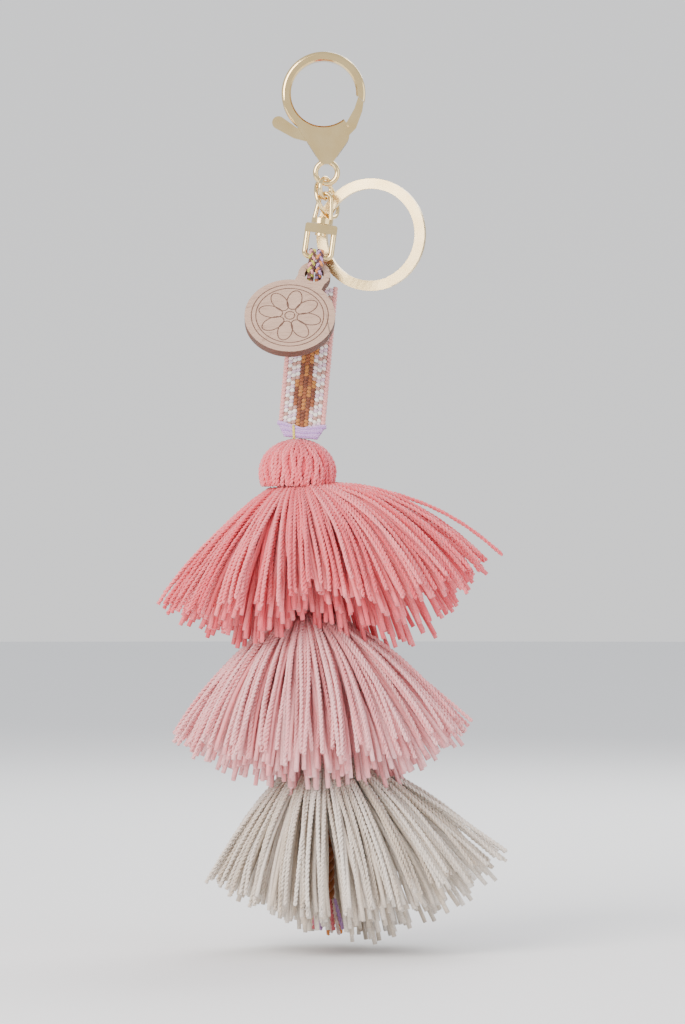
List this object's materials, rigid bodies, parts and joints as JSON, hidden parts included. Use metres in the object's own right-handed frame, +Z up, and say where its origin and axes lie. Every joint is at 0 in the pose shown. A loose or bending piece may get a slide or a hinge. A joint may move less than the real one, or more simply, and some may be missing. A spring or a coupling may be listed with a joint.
{
  "type": "wristlet keychain",
  "caption": "Keychain with a lobster-claw clasp, swivel, split key ring, knotted strap with a wooden disc charm, and a tiered yarn tassel.",
  "frame": {"origin": "centre of the hook's round opening, at the middle of the clasp's thickness", "axes": "+Z up along the hanging keychain, +X to the right seen from the front, +Y from the front to the back, along the hook opening's axis"},
  "size_m": [0.0911, 0.074, 0.2342],
  "materials": {
    "gold_plate": "pale gold plated, polished",
    "gold_wire": "pale gold plated, polished",
    "gold_ring": "pale gold plated, satin face",
    "spring_steel": "bright",
    "braid_cord": "braided cotton in several colours",
    "strap_cord": "knotted cotton in pink, white and ochre",
    "binding_cord": "lilac cotton",
    "charm_wood": "plain, laser cut",
    "coral_yarn": "two-ply yarn",
    "pink_yarn": "two-ply yarn",
    "cream_yarn": "two-ply yarn",
    "rust_cord": "twisted cord",
    "tail_cord": "loose thread ends in several colours"
  },
  "bodies": {
    "clasp": {"clasp_body": "gold_plate", "lever_pin": "gold_plate", "lever_spring": "spring_steel"},
    "lever": {"clasp_lever": "gold_plate"},
    "link": {"clasp_link": "gold_wire"},
    "swivel_top": {"swivel_arch": "gold_wire", "swivel_rivet": "gold_wire"},
    "swivel_stirrup": {"swivel_stirrup": "gold_wire"},
    "key_link": {"key_link": "gold_wire"},
    "key_ring": {"split_ring": "gold_ring"},
    "strap": {"strap_loop": "braid_cord", "strap": "strap_cord", "strap_binding": "binding_cord"},
    "charm": {"charm": "charm_wood"},
    "tassel_upper": {"head_upper": "coral_yarn", "neck_upper": "coral_yarn", "fringe_upper": "coral_yarn", "core_upper": "rust_cord"},
    "tassel_middle": {"head_middle": "pink_yarn", "neck_middle": "pink_yarn", "fringe_middle": "pink_yarn", "core_middle": "rust_cord"},
    "tassel_lower": {"head_lower": "cream_yarn", "neck_lower": "cream_yarn", "fringe_lower": "cream_yarn", "core_tail": "rust_cord", "tail_threads": "tail_cord"}
  },
  "joints": [
    {"name": "lever_pivot", "type": "hinge", "parent": "clasp", "child": "lever", "pos_m": [0.0009, 0, -0.0122], "axis": [0, -1, 0], "range_deg": [0, 22], "stiffness_Nm_per_rad": 0.02, "springref_deg": -20.05, "deforming": ["lever_spring"]},
    {"name": "link_swing", "type": "hinge", "parent": "clasp", "child": "link", "pos_m": [0.0008, 0, -0.021], "axis": [0, 1, 0], "range_deg": [-30, 30]},
    {"name": "swivel_tilt", "type": "hinge", "parent": "link", "child": "swivel_top", "pos_m": [0.0005, 0, -0.02518], "axis": [0.866, -0.5, 0], "range_deg": [-30, 30]},
    {"name": "swivel_spin", "type": "hinge", "parent": "swivel_top", "child": "swivel_stirrup", "pos_m": [0.0005, 0, -0.02818], "axis": [0.1392, 0, 0.9903], "range_deg": [-50, 50]},
    {"name": "key_link_turn", "type": "hinge", "parent": "swivel_top", "child": "key_link", "pos_m": [0.0009, 0.00344, -0.02788], "axis": [0.8311, -0.467, 0.302], "range_deg": [-1, 25]},
    {"name": "key_ring_turn", "type": "hinge", "parent": "key_link", "child": "key_ring", "pos_m": [0.0127, 0.00124, -0.0375], "axis": [0.274, 0.9617, 0], "continuous": true},
    {"name": "strap_swing", "type": "hinge", "parent": "swivel_stirrup", "child": "strap", "pos_m": [-0.00166, 0, -0.04358], "axis": [0.9903, 0, -0.1392], "range_deg": [-40, 12]},
    {"name": "charm_swing", "type": "hinge", "parent": "strap", "child": "charm", "pos_m": [-0.00246, -0.0016, -0.04893], "axis": [1, 0, 0], "range_deg": [-22, 12]},
    {"name": "tassel_swing", "type": "hinge", "parent": "strap", "child": "tassel_upper", "pos_m": [-0.00698, 0.002, -0.10093], "axis": [0, 1, 0], "range_deg": [-8, 12]},
    {"name": "middle_swing", "type": "hinge", "parent": "tassel_upper", "child": "tassel_middle", "pos_m": [-0.00512, 0.002, -0.13254], "axis": [0, 1, 0], "range_deg": [-8, 8]},
    {"name": "lower_swing", "type": "hinge", "parent": "tassel_middle", "child": "tassel_lower", "pos_m": [-0.00025, 0.002, -0.16997], "axis": [0, 1, 0], "range_deg": [-1, 8]}
  ]
}
